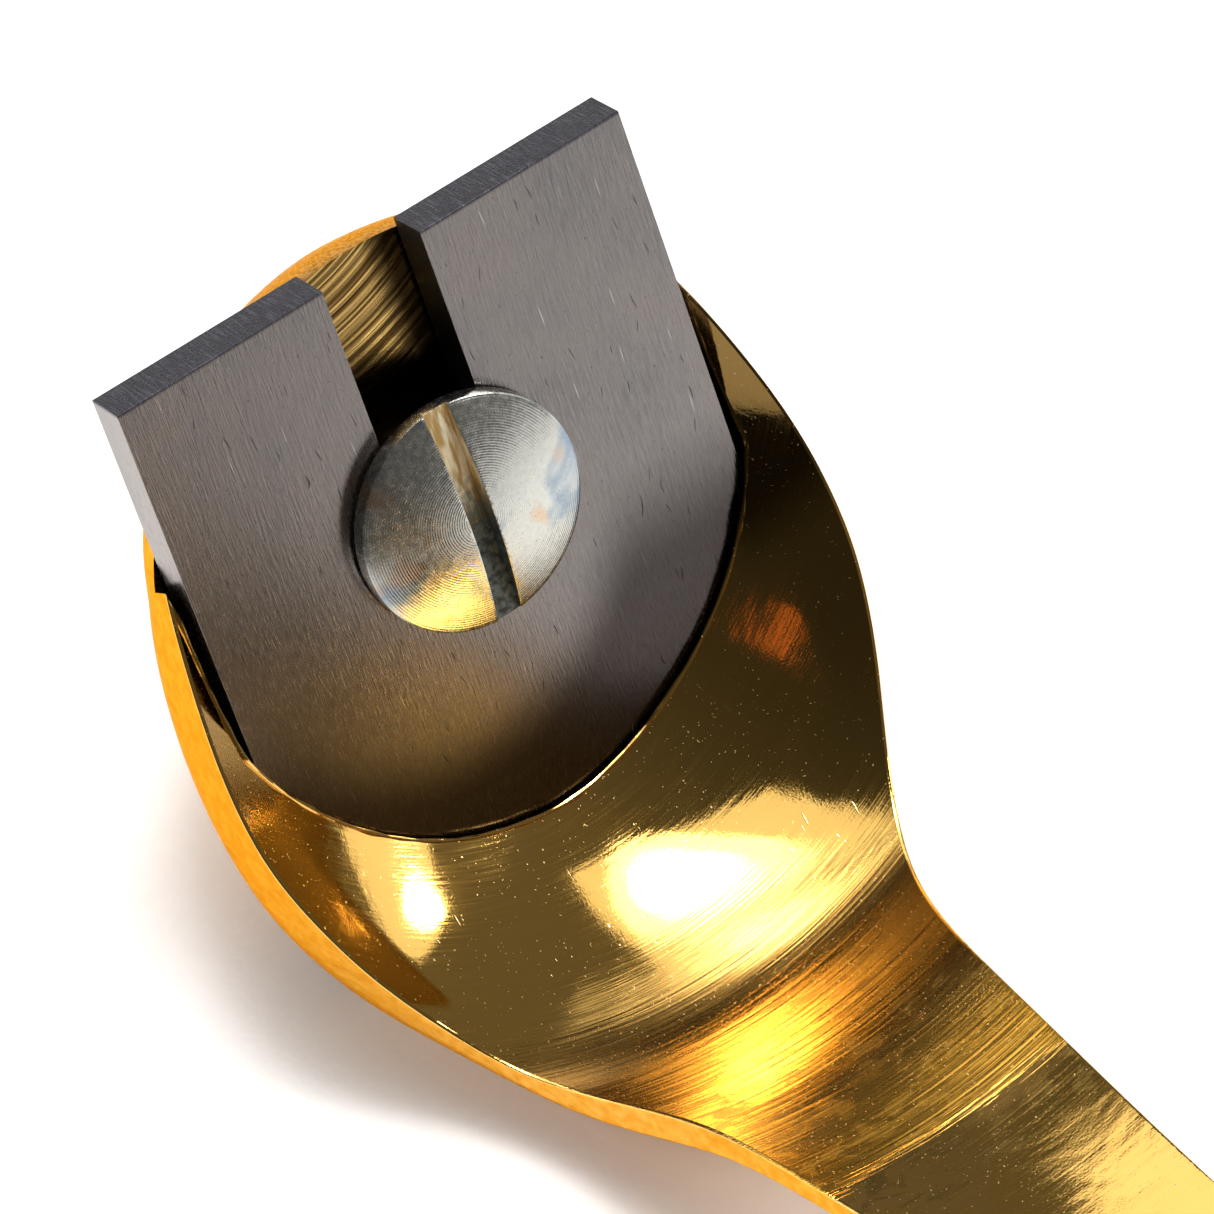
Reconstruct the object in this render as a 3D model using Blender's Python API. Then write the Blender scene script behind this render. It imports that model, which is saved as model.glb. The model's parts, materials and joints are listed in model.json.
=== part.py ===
"""Spoon-soled brass pull plane: a hollow brass casting with a slotted cutter plate
clamped on its bed by one screw, and a turned wooden handle on a steel tang.

Two frames are used, both in millimetres until a mesh is written:
  tool frame   x towards the handle, y across, z up from the lowest point of the sole,
               with the plane held as it cuts;
  bed frame    l down the cutter plate from its top edge, w across, n out of its top face.
The whole tool is finally tipped about y until it stands on a small flat in its sole and on
its handle.
"""
import math
from collections import namedtuple

import bmesh
import bpy
import numpy as np
from mathutils import Matrix, Vector

MM = 0.001
GAP = 0.3                       # clearance between pieces that touch

# bed and mouth
BED_ANGLE = math.radians(45.0)
BED_TOP = Vector((-30.0, 0.0, 28.9))    # tool frame, upper edge of the cutter on the bed
POCKET_HALF = 18.65             # half-width of the pocket that guides the cutter
POCKET_ROOF = 3.5               # height of the mouth's front wall above the cutter's underside
RELIEF = (9.4, 11.7)            # cross groove in the bed, start and end along l
RELIEF_DEPTH = 1.0
RELIEF_HALF = 15.0
POCKET_L = (-15.0, 70.0)        # the pocket's cutter runs out of the casting at both ends

# cutter plate
PLATE_HALF = 18.0
PLATE_THICK = 3.0
PLATE_LENGTH = 44.0
PLATE_NOSE_R = 23.0             # radius of the cutting edge
PLATE_BEVEL = 2.8               # run of the ground bevel, measured on the underside
SLOT_HALF = 3.5
SLOT_END = 23.5

# clamp screw
SCREW_AT = 17.6                 # along l
SCREW_R = 3.0
SCREW_DEPTH = 10.0
HEAD_R = 7.5
HEAD_SIDE = 1.0
HEAD_DOME = 1.1
DOME_STEPS = 6
POINT_CHAMFER = 0.8
DRIVER_HALF = 0.85
DRIVER_DEPTH = 1.25

# casting: one row per station from heel to neck
Station = namedtuple("Station", "rim_x half rim_z keel_x keel_z wall sole_power hollow hollow_power")
STATIONS = (
    (-29.65, 0.0, 28.55, -29.65, 28.55, 0.0, 1.8, 0.0, 2.0),
    (-29.06, 5.9, 27.96, -31.3, 26.3, 0.0, 1.8, 0.0, 2.0),
    (-27.33, 11.4, 26.23, -32.7, 21.4, 0.1, 1.6, 0.0, 2.0),
    (-24.81, 15.4, 23.71, -33.0, 15.5, 0.1, 1.5, 2.0, 2.0),
    (-22.15, 17.7, 21.6, -30.8, 9.6, 0.2, 1.55, 6.0, 2.0),
    (-19.2, 18.9, 20.5, -25.8, 4.6, 1.6, 1.85, 10.0, 2.0),
    (-15.0, 20.05, 18.75, -18.5, 1.7, 4.3, 2.3, 13.0, 2.2),
    (-9.8, 21.1, 16.4, -11.0, 0.5, 5.0, 2.4, 11.8, 2.0),
    (-4.8, 21.3, 13.95, -4.5, 0.1, 4.4, 2.4, 10.05, 1.85),
    (-0.5, 20.55, 12.4, 0.5, 0.0, 4.1, 2.3, 8.85, 1.8),
    (4.2, 18.9, 10.2, 5.5, 0.15, 2.7, 2.2, 6.7, 1.85),
    (8.3, 16.8, 8.7, 9.8, 0.9, 1.6, 2.1, 4.7, 1.9),
    (12.5, 14.7, 8.1, 14.1, 2.9, 1.0, 2.1, 2.7, 2.0),
    (17.1, 12.25, 10.2, 19.3, 6.8, 2.0, 2.2, 1.8, 2.0),
    (22.8, 9.95, 17.3, 25.2, 15.0, 1.9, 2.2, 1.45, 2.0),
    (28.9, 9.0, 22.7, 30.6, 20.8, 1.3, 2.2, 1.1, 2.0),
    (45.0, 6.9, 35.6, 46.9, 33.1, 1.6, 2.2, 1.0, 2.0),
    (60.0, 6.5, 46.0, 61.8, 42.4, 2.4, 2.2, 0.8, 2.0),
    (70.0, 6.0, 51.1, 71.3, 46.9, 2.9, 2.2, 0.6, 2.0),
    (77.0, 5.7, 52.9, 77.4, 48.3, 3.4, 2.2, 0.4, 2.0),
)
STEPS_PER_STATION = 3
SECTION_STEPS = 26              # points round the outside of a section
HOLLOW_STEPS = 18               # points across its inside
LEAST_WALL = 0.1                # share of a section's depth that is upright at its rim
RIM_LAND = 0.25                 # width of the flat left on top of the rim
SOLE_FLAT = Vector((9.1, 0.0, 0.93))    # tool frame, middle of the flat that the tool stands on
FLAT_CUTTER = 20.0              # half-width and depth of the block that cuts it

# handle, along its axis in x at the height AXIS_Z
AXIS_Z = 51.0
BOSS = ((0.0, 73.0), (4.2, 73.4), (6.4, 77.0), (6.5, 87.0), (8.2, 88.2), (8.2, 91.0))
TANG_R = 3.0
TANG_X = (78.0, 175.0)
ROD_CHAMFER = 0.5
PIN_X = 82.5
PIN_R = 1.5
PIN_HALF = 6.3
FERRULE_X = (91.3, 104.0)
FERRULE_R = (7.8, 9.0)
FERRULE_CHAMFER = 0.5
GRIP_BORE = 3.4
GRIP_PROFILE = (
    (7.5, 91.3), (7.5, 104.2), (9.3, 104.3), (9.9, 107.0), (9.7, 111.0), (10.3, 116.0),
    (11.7, 123.0), (12.8, 131.0), (13.2, 139.0), (12.8, 147.0), (11.8, 155.0), (11.1, 161.0),
    (11.0, 164.0), (10.3, 166.6), (8.8, 168.0),
)
WASHER_X = (168.3, 169.8)
WASHER_R = (3.4, 7.0)
WASHER_CHAMFER = 0.4
NUT_X = (170.1, 178.0)
NUT_ACROSS_FLATS = 10.0
NUT_BORE_DEPTH = 5.4
NUT_FOOT_CHAMFER = 0.6
NUT_END_CHAMFER = 1.2
CLEAR = 3.0                     # how far a cutter sticks out of what it cuts

ROUND_LARGE = 48
ROUND_SMALL = 24


def clear_scene():
    for thing in list(bpy.data.objects):
        bpy.data.objects.remove(thing, do_unlink=True)


def material(name, colour, roughness, metallic):
    made = bpy.data.materials.new(name)
    made.use_nodes = True
    shader = made.node_tree.nodes["Principled BSDF"]
    shader.inputs["Base Color"].default_value = (*colour, 1.0)
    shader.inputs["Roughness"].default_value = roughness
    shader.inputs["Metallic"].default_value = metallic
    return made


def bed_frame():
    """Matrix from the bed frame (l, w, n) to the tool frame."""
    down = Vector((math.cos(BED_ANGLE), 0.0, -math.sin(BED_ANGLE)))
    across = Vector((0.0, 1.0, 0.0))
    out = down.cross(across)
    turn = Matrix((down, across, out)).transposed().to_4x4()
    return Matrix.Translation(BED_TOP * MM) @ turn


def handle_frame():
    """Matrix that stands a turned piece's axis along the handle, height measured as x."""
    return Matrix.Translation((0.0, 0.0, AXIS_Z * MM)) @ Matrix.Rotation(math.pi / 2, 4, "Y")


def new_object(name, points, faces, look=None, smooth=True):
    """Mesh object from points in millimetres, with its faces turned outwards."""
    mesh = bpy.data.meshes.new(name)
    bm = bmesh.new()
    verts = [bm.verts.new(Vector(point) * MM) for point in points]
    for face in faces:
        bm.faces.new([verts[index] for index in face])
    bmesh.ops.recalc_face_normals(bm, faces=bm.faces)
    bm.to_mesh(mesh)
    bm.free()
    thing = bpy.data.objects.new(name, mesh)
    bpy.context.scene.collection.objects.link(thing)
    if look is not None:
        mesh.materials.append(look)
    if smooth:
        mesh.shade_smooth()
        mesh.set_sharp_from_angle(angle=math.radians(35.0))
    return thing


def turned(name, profile, count, look=None, hollow=False):
    """Solid of revolution about z from (radius, height) pairs; hollow closes the profile on itself."""
    points = []
    rings = []
    for radius, height in profile:
        if radius == 0.0:
            rings.append([len(points)] * count)
            points.append((0.0, 0.0, height))
            continue
        rings.append(list(range(len(points), len(points) + count)))
        for step in range(count):
            angle = 2.0 * math.pi * step / count
            points.append((radius * math.cos(angle), radius * math.sin(angle), height))
    pairs = list(zip(rings, rings[1:]))
    if hollow:
        pairs.append((rings[-1], rings[0]))
    faces = []
    for low, high in pairs:
        for step in range(count):
            after = (step + 1) % count
            corners = (low[step], low[after], high[after], high[step])
            faces.append(tuple(dict.fromkeys(corners)))
    return new_object(name, points, faces, look)


def block(name, low, high):
    """Box between two corners."""
    corners = [(x, y, z) for x in (low[0], high[0]) for y in (low[1], high[1]) for z in (low[2], high[2])]
    faces = ((0, 1, 3, 2), (4, 6, 7, 5), (0, 4, 5, 1), (2, 3, 7, 6), (0, 2, 6, 4), (1, 5, 7, 3))
    return new_object(name, corners, faces, smooth=False)


def combine(thing, other, operation="DIFFERENCE"):
    """Boolean modifier; the other object is only a cutter, kept out of the build."""
    other.hide_render = True
    other.display_type = "WIRE"
    step = thing.modifiers.new(other.name, "BOOLEAN")
    step.operation = operation
    step.object = other
    step.solver = "EXACT"


def smooth_stations():
    """Stations refined by a Catmull-Rom curve through the rows of STATIONS."""
    rows = np.array(STATIONS)
    mirrored = rows[1].copy()
    mirrored[1] *= -1.0
    ahead = 2.0 * rows[-1] - rows[-2]
    rows = np.vstack([mirrored, rows, ahead])
    fine = []
    for index in range(len(STATIONS) - 1):
        before, start, end, after = rows[index:index + 4]
        for step in range(STEPS_PER_STATION):
            t = step / STEPS_PER_STATION
            fine.append(0.5 * (
                2.0 * start
                + (end - before) * t
                + (2.0 * before - 5.0 * start + 4.0 * end - after) * t * t
                + (3.0 * start - before - 3.0 * end + after) * t ** 3
            ))
    fine.append(rows[-2])
    return [Station(*row) for row in fine]


def section_frame(row):
    """Centre of the rim chord, unit vector towards the keel and distance to it."""
    centre = Vector((row.rim_x, 0.0, row.rim_z))
    reach = Vector((row.keel_x, 0.0, row.keel_z)) - centre
    return centre, reach.normalized(), reach.length


def hollow_depth(row, share, limit):
    """Depth of the inner surface at a share of its half-width, never below the bed plane."""
    depth = row.hollow * (1.0 - abs(share) ** row.hollow_power)
    return max(0.0, min(depth, limit))


def depth_to_bed(centre, down):
    """Distance from the rim chord to the plane that the pocket is cut through."""
    out = Vector((math.sin(BED_ANGLE), 0.0, math.cos(BED_ANGLE)))
    slope = -down.dot(out)
    height = (centre - BED_TOP).dot(out) - 0.5 * PLATE_THICK
    return height / slope if slope > 0.1 else 1000.0


def shell_section(row):
    """One closed section of the casting: outside from rim to rim under the keel, then inside."""
    centre, down, depth = section_frame(row)
    half, wall = row.half, max(row.wall, LEAST_WALL * depth)
    points = [centre + Vector((0.0, half, 0.0))]
    for step in range(SECTION_STEPS + 1):
        angle = math.pi * step / SECTION_STEPS
        side = abs(math.cos(angle)) ** (2.0 / row.sole_power)
        drop = abs(math.sin(angle)) ** (2.0 / row.sole_power)
        across = math.copysign(half * side, math.cos(angle))
        points.append(centre + down * (wall + (depth - wall) * drop) + Vector((0.0, across, 0.0)))
    points.append(centre + Vector((0.0, -half, 0.0)))
    inside = half * (1.0 - RIM_LAND / (half + RIM_LAND))
    limit = depth_to_bed(centre, down)
    for step in range(HOLLOW_STEPS + 1):
        share = -math.cos(math.pi * step / HOLLOW_STEPS)
        sunk = down * hollow_depth(row, share, limit)
        points.append(centre + sunk + Vector((0.0, inside * share, 0.0)))
    return points


def casting_shell(look):
    """Lofted casting without its pocket and boss, closed by the heel's nose and a flat neck end."""
    rows = smooth_stations()
    nose = Vector((rows[0].rim_x, 0.0, rows[0].rim_z))
    sections = [shell_section(row) for row in rows[1:]]
    count = len(sections[0])
    points = [point for section in sections for point in section] + [nose]
    faces = []
    for ring in range(len(sections) - 1):
        low, high = ring * count, (ring + 1) * count
        for step in range(count):
            after = (step + 1) % count
            faces.append((low + step, low + after, high + after, high + step))
    faces.append(tuple(range(len(points) - 1 - count, len(points) - 1)))
    for step in range(count):
        faces.append((step, (step + 1) % count, len(points) - 1))
    return new_object("body_casting", points, faces, look)


def body_casting(look, seat):
    """Casting with its pocket, relief groove, tapped hole and handle boss."""
    casting = casting_shell(look)
    pocket = block(
        "pocket_cutter",
        (POCKET_L[0], -POCKET_HALF, -GAP),
        (POCKET_L[1], POCKET_HALF, POCKET_ROOF),
    )
    pocket.matrix_world = seat
    combine(casting, pocket)
    relief = block(
        "relief_cutter",
        (RELIEF[0], -RELIEF_HALF, -GAP - RELIEF_DEPTH),
        (RELIEF[1], RELIEF_HALF, RELIEF_DEPTH),
    )
    relief.matrix_world = seat
    combine(casting, relief)
    hole_r, drill_tip = SCREW_R + GAP, SCREW_DEPTH + 2.0
    hole = turned(
        "screw_hole_cutter",
        ((0.0, -drill_tip), (hole_r, -SCREW_DEPTH - GAP), (hole_r, CLEAR), (0.0, CLEAR)),
        ROUND_SMALL,
    )
    hole.matrix_world = seat @ Matrix.Translation((SCREW_AT * MM, 0.0, 0.0))
    combine(casting, hole)
    bore_r, bore_end = TANG_R + GAP, TANG_X[0] - GAP
    bore = ((bore_r, BOSS[-1][1]), (bore_r, bore_end), (0.0, bore_end))
    boss = turned("boss", BOSS + bore, ROUND_LARGE)
    boss.matrix_world = handle_frame()
    combine(casting, boss, "UNION")
    combine(casting, pin_hole("casting_pin_cutter"))
    return casting


def pin_hole(name):
    reach = 2.0 * PIN_HALF
    hole = turned(
        name,
        ((0.0, -reach), (PIN_R + GAP, -reach), (PIN_R + GAP, reach), (0.0, reach)),
        ROUND_SMALL,
    )
    hole.matrix_world = pin_frame()
    return hole


def pin_frame():
    return Matrix.Translation((PIN_X * MM, 0.0, AXIS_Z * MM)) @ Matrix.Rotation(math.pi / 2, 4, "X")


def cutter_plate(look):
    """Plate in the bed frame: square top, open slot, arched and bevelled cutting edge."""
    outline = [(0.0, -PLATE_HALF, False), (0.0, -SLOT_HALF, False)]
    arc_centre = SLOT_END - SLOT_HALF
    for step in range(13):
        angle = math.pi * step / 12
        outline.append((
            arc_centre + SLOT_HALF * math.sin(angle),
            -SLOT_HALF * math.cos(angle),
            False,
        ))
    outline += [(0.0, SLOT_HALF, False), (0.0, PLATE_HALF, False)]
    for step in range(25):
        outline.append((0.0, PLATE_HALF * math.cos(math.pi * step / 24), True))
    nose_centre = PLATE_LENGTH - PLATE_NOSE_R
    count = len(outline)
    points = []
    for height, radius in ((0.0, PLATE_NOSE_R - PLATE_BEVEL), (PLATE_THICK, PLATE_NOSE_R)):
        for down, across, on_nose in outline:
            if on_nose:
                down = nose_centre + math.sqrt(radius ** 2 - across ** 2)
            points.append((down, across, height))
    faces = [tuple(range(count)), tuple(range(count, 2 * count))]
    for step in range(count):
        after = (step + 1) % count
        faces.append((step, after, count + after, count + step))
    return new_object("cutter_plate", points, faces, look, smooth=False)


def clamp_screw(look):
    """Slotted screw about z, with z = 0 on the cutter's underside."""
    seat_z = PLATE_THICK + GAP
    crown = seat_z + HEAD_SIDE + HEAD_DOME
    dome_r = (HEAD_R ** 2 + HEAD_DOME ** 2) / (2.0 * HEAD_DOME)
    profile = [
        (0.0, -SCREW_DEPTH),
        (SCREW_R - POINT_CHAMFER, -SCREW_DEPTH),
        (SCREW_R, -SCREW_DEPTH + POINT_CHAMFER),
        (SCREW_R, seat_z),
        (HEAD_R, seat_z),
    ]
    for step in range(DOME_STEPS):
        radius = HEAD_R * (1.0 - step / DOME_STEPS)
        profile.append((radius, crown - dome_r + math.sqrt(dome_r ** 2 - radius ** 2)))
    profile.append((0.0, crown))
    screw = turned("clamp_screw", profile, ROUND_LARGE, look)
    slot = block(
        "driver_slot_cutter",
        (-HEAD_R - CLEAR, -DRIVER_HALF, crown - DRIVER_DEPTH),
        (HEAD_R + CLEAR, DRIVER_HALF, crown + CLEAR),
    )
    combine(screw, slot)
    return screw, slot


def tang_rod(look):
    """Steel rod from the boss to the nut, chamfered at both ends."""
    low, high = TANG_X
    end_r = TANG_R - ROD_CHAMFER
    profile = (
        (0.0, low), (end_r, low), (TANG_R, low + ROD_CHAMFER),
        (TANG_R, high - ROD_CHAMFER), (end_r, high), (0.0, high),
    )
    rod = turned("tang_rod", profile, ROUND_SMALL, look)
    combine(rod, pin_hole("tang_pin_cutter"))
    return rod


def tang_pin(look):
    profile = ((0.0, -PIN_HALF), (PIN_R, -PIN_HALF), (PIN_R, PIN_HALF), (0.0, PIN_HALF))
    return turned("tang_pin", profile, ROUND_SMALL, look)


def ferrule(look):
    """Brass tube over the grip's spigot, chamfered outside at both ends."""
    inner, outer = FERRULE_R
    low, high = FERRULE_X
    end_r = outer - FERRULE_CHAMFER
    profile = (
        (inner, low), (end_r, low), (outer, low + FERRULE_CHAMFER),
        (outer, high - FERRULE_CHAMFER), (end_r, high), (inner, high),
    )
    return turned("ferrule", profile, ROUND_LARGE, look, hollow=True)


def handle_grip(look):
    ends = ((GRIP_BORE, GRIP_PROFILE[-1][1]), (GRIP_BORE, GRIP_PROFILE[0][1]))
    return turned("handle_grip", GRIP_PROFILE + ends, ROUND_LARGE, look, hollow=True)


def end_washer(look):
    inner, outer = WASHER_R
    low, high = WASHER_X
    profile = (
        (inner, low), (outer, low), (outer, high - WASHER_CHAMFER),
        (outer - WASHER_CHAMFER, high), (inner, high),
    )
    return turned("end_washer", profile, ROUND_LARGE, look, hollow=True)


def end_nut(look):
    """Blind hexagon nut: a turned, chamfered blank with six flats and a blind bore."""
    low, high = NUT_X
    corner = NUT_ACROSS_FLATS / math.sqrt(3.0)
    blank_r = corner + 0.1
    blank = turned(
        "end_nut",
        (
            (0.0, low), (blank_r - NUT_FOOT_CHAMFER, low), (blank_r, low + NUT_FOOT_CHAMFER),
            (blank_r, high - NUT_END_CHAMFER), (blank_r - NUT_END_CHAMFER, high), (0.0, high),
        ),
        ROUND_LARGE,
        look,
    )
    start, bore_end = low - CLEAR, low + NUT_BORE_DEPTH
    flats = turned(
        "nut_flats",
        ((0.0, start), (corner, start), (corner, high + CLEAR), (0.0, high + CLEAR)),
        6,
    )
    bore_r = TANG_R + GAP
    bore = turned(
        "nut_bore_cutter",
        ((0.0, start), (bore_r, start), (bore_r, bore_end), (0.0, bore_end)),
        ROUND_SMALL,
    )
    combine(blank, flats, "INTERSECT")
    combine(blank, bore)
    return blank, (flats, bore)


def corners_of(things):
    """All evaluated vertices, in metres in the tool frame."""
    bpy.context.view_layer.update()
    graph = bpy.context.evaluated_depsgraph_get()
    cloud = []
    for thing in things:
        seen = thing.evaluated_get(graph)
        cloud += [seen.matrix_world @ vertex.co for vertex in seen.data.vertices]
    return np.array(cloud)


def resting_tip(cloud):
    """Angle about y at which the flat in the sole and the handle reach the same level."""
    reach = cloud - np.array(SOLE_FLAT * MM)
    handle = reach[reach[:, 0] > AXIS_Z * MM]
    return np.arctan2(handle[:, 2], handle[:, 0]).min()


def flatten_sole(casting, angle):
    """Cuts the small flat that the tool stands on."""
    half = FLAT_CUTTER
    cutter = block("sole_flat_cutter", (-half, -half, -half), (half, half, 0.0))
    cutter.matrix_world = Matrix.Translation(SOLE_FLAT * MM) @ Matrix.Rotation(-angle, 4, "Y")
    combine(casting, cutter)


def stand_on_floor(things, angle):
    """Tips the finished tool and puts its origin at the bottom centre of its box."""
    turn = Matrix.Rotation(angle, 4, "Y")
    tipped = corners_of(things) @ np.array(turn.to_3x3()).T
    low, high = tipped.min(axis=0), tipped.max(axis=0)
    shift = Vector((-(low[0] + high[0]) / 2, -(low[1] + high[1]) / 2, -low[2]))
    stand = bpy.data.objects.new("tool_stand", None)
    bpy.context.scene.collection.objects.link(stand)
    for thing in bpy.data.objects:
        if thing is not stand and thing.parent is None:
            thing.parent = stand
    stand.matrix_world = Matrix.Translation(shift) @ turn


def build():
    clear_scene()
    brass = material("polished_brass", (0.86, 0.60, 0.20), 0.12, 1.0)
    tool_steel = material("ground_tool_steel", (0.30, 0.29, 0.29), 0.38, 1.0)
    zinc = material("zinc_plated_steel", (0.62, 0.65, 0.66), 0.28, 1.0)
    dark_steel = material("dark_steel", (0.35, 0.35, 0.36), 0.35, 1.0)
    wood = material("oiled_hardwood", (0.34, 0.15, 0.06), 0.45, 0.0)

    seat = bed_frame()
    along_handle = handle_frame()
    casting = body_casting(brass, seat)
    plate = cutter_plate(tool_steel)
    plate.matrix_world = seat
    screw, slot = clamp_screw(zinc)
    at_screw = seat @ Matrix.Translation((SCREW_AT * MM, 0.0, 0.0))
    screw.matrix_world = at_screw
    slot.matrix_world = at_screw
    rod = tang_rod(dark_steel)
    rod.matrix_world = along_handle
    pin = tang_pin(dark_steel)
    pin.matrix_world = pin_frame()
    ring = ferrule(brass)
    ring.matrix_world = along_handle
    grip = handle_grip(wood)
    grip.matrix_world = along_handle
    washer = end_washer(brass)
    washer.matrix_world = along_handle
    nut, nut_tools = end_nut(brass)
    nut.matrix_world = along_handle
    for tool in nut_tools:
        tool.matrix_world = along_handle
    things = (casting, plate, screw, rod, pin, ring, grip, washer, nut)
    tip = resting_tip(corners_of(things))
    flatten_sole(casting, tip)
    stand_on_floor(things, tip)


build()
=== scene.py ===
"""Looks of the spoon-soled brass plane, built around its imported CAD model.

Shapes are worked out in millimetres, in two frames:
  tool frame   x towards the handle, y across, z up from the sole as the plane cuts;
  bed frame    l down the cutter plate from its top edge, w across, n out of its top face.
"""

from collections import namedtuple
import json
import math

import bmesh
import bpy
import numpy as np
from mathutils import Euler, Matrix, Vector, noise

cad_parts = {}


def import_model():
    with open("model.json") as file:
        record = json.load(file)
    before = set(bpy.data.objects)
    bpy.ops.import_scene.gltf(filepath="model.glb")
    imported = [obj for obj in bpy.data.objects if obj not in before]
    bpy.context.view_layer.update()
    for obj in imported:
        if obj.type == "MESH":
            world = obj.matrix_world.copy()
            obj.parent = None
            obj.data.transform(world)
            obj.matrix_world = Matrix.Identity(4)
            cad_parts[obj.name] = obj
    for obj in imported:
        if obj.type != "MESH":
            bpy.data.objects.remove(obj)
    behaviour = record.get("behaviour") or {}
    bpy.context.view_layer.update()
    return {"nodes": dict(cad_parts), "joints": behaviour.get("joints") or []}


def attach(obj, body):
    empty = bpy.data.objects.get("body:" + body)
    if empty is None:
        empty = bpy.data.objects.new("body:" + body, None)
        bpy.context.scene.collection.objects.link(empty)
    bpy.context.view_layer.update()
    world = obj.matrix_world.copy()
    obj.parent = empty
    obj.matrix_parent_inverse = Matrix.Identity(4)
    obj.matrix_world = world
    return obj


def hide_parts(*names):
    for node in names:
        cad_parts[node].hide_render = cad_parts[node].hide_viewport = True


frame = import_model()

MM = 0.001
GAP = 0.3                       # clearance between pieces that touch

# bed and mouth
BED_ANGLE = math.radians(45.0)
BED_TOP = Vector((-30.0, 0.0, 28.9))    # tool frame, upper edge of the cutter on the bed
POCKET_HALF = 18.65
POCKET_ROOF = 3.5
POCKET_L = (-15.0, 70.0)
RELIEF = (9.4, 11.7)            # cross groove in the bed, start and end along l
RELIEF_DEPTH = 1.0
RELIEF_HALF = 15.0

# cutter plate
PLATE_HALF = 18.0
PLATE_THICK = 3.0
PLATE_LENGTH = 44.0
PLATE_NOSE_R = 23.0
PLATE_BEVEL = 2.8
SLOT_HALF = 3.5
SLOT_END = 23.5

# clamp screw
SCREW_AT = 17.6
SCREW_R = 3.0
SCREW_DEPTH = 10.0
HEAD_R = 7.5
HEAD_SIDE = 1.0
HEAD_DOME = 1.1
DRIVER_HALF = 0.85
DRIVER_DEPTH = 1.25

# casting: one row per station from heel to neck, in the order of these names
Station = namedtuple("Station", (
    "rim_x", "half_width", "rim_z", "keel_x", "keel_z",
    "side_wall", "sole_power", "hollow_depth", "hollow_power",
))
STATIONS = (
    (-29.65, 0.0, 28.55, -29.65, 28.55, 0.0, 1.8, 0.0, 2.0),
    (-29.06, 5.9, 27.96, -31.3, 26.3, 0.0, 1.8, 0.0, 2.0),
    (-27.33, 11.4, 26.23, -32.7, 21.4, 0.1, 1.6, 0.0, 2.0),
    (-24.81, 15.4, 23.71, -33.0, 15.5, 0.1, 1.5, 2.0, 2.0),
    (-22.15, 17.7, 21.6, -30.8, 9.6, 0.2, 1.55, 6.0, 2.0),
    (-19.2, 18.9, 20.5, -25.8, 4.6, 1.6, 1.85, 10.0, 2.0),
    (-15.0, 20.05, 18.75, -18.5, 1.7, 4.3, 2.3, 13.0, 2.2),
    (-9.8, 21.1, 16.4, -11.0, 0.5, 5.0, 2.4, 11.8, 2.0),
    (-4.8, 21.3, 13.95, -4.5, 0.1, 4.4, 2.4, 10.05, 1.85),
    (-0.5, 20.55, 12.4, 0.5, 0.0, 4.1, 2.3, 8.85, 1.8),
    (4.2, 18.9, 10.2, 5.5, 0.15, 2.7, 2.2, 6.7, 1.85),
    (8.3, 16.8, 8.7, 9.8, 0.9, 1.6, 2.1, 4.7, 1.9),
    (12.5, 14.7, 8.1, 14.1, 2.9, 1.0, 2.1, 2.7, 2.0),
    (17.1, 12.25, 10.2, 19.3, 6.8, 2.0, 2.2, 1.8, 2.0),
    (22.8, 9.95, 17.3, 25.2, 15.0, 1.9, 2.2, 1.45, 2.0),
    (28.9, 9.0, 22.7, 30.6, 20.8, 1.3, 2.2, 1.1, 2.0),
    (45.0, 6.9, 35.6, 46.9, 33.1, 1.6, 2.2, 1.0, 2.0),
    (60.0, 6.5, 46.0, 61.8, 42.4, 2.4, 2.2, 0.8, 2.0),
    (70.0, 6.0, 51.1, 71.3, 46.9, 2.9, 2.2, 0.6, 2.0),
    (77.0, 5.7, 52.9, 77.4, 48.3, 3.4, 2.2, 0.4, 2.0),
)
STEPS_PER_STATION = 8
FAIRING = 0.45                  # how far, in stations, neighbouring sections are averaged
SECTION_STEPS = 64              # points round the outside of a section
WALL_STEPS = 5                  # points down its upright wall
WALL_SHARES = (0.15, 0.85)      # where they start and end
RIM_STEPS = 4                   # pieces of the rim's rounded corner
HOLLOW_STEPS = 56               # points across its inside
LEAST_WALL = 0.1
RIM_LAND = 0.25
RIM_ROUND = 0.16                # rounding of the rim's two edges
LEAST_SLOPE = 0.1               # flatter sections never reach the bed plane
FLAT_CUTTER = 20.0              # half-width and depth of the block that flattens the sole
BOSS_ROUND = 0.6

# handle, along its axis in x at the height AXIS_Z
AXIS_Z = 51.0
BOSS = ((0.0, 73.0), (4.2, 73.4), (6.4, 77.0), (6.5, 87.0), (8.2, 88.2), (8.2, 91.0))
TANG_R = 3.0
TANG_X = (78.0, 175.0)
PIN_X = 82.5
PIN_R = 1.5
PIN_HALF = 6.3
FERRULE_X = (91.3, 104.0)
FERRULE_R = (7.8, 9.0)
GRIP_BORE = 3.4
GRIP_SPIGOT = ((7.5, 91.3), (7.5, 104.2))
GRIP_CURVE = (
    (9.3, 104.3), (9.9, 107.0), (9.7, 111.0), (10.3, 116.0), (11.7, 123.0), (12.8, 131.0),
    (13.2, 139.0), (12.8, 147.0), (11.8, 155.0), (11.1, 161.0), (11.0, 164.0), (10.3, 166.6),
    (8.8, 168.0),
)
GRIP_RINGS = (109.5, 111.0, 162.5)      # x of the lines burnt round the grip
GRIP_EASE = 0.1                 # keeps the smooth grip inside the faceted one
WASHER_X = (168.3, 169.8)
WASHER_R = (3.4, 7.0)
NUT_X = (170.1, 178.0)
NUT_ACROSS_FLATS = 10.0
NUT_BORE_DEPTH = 5.4

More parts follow.
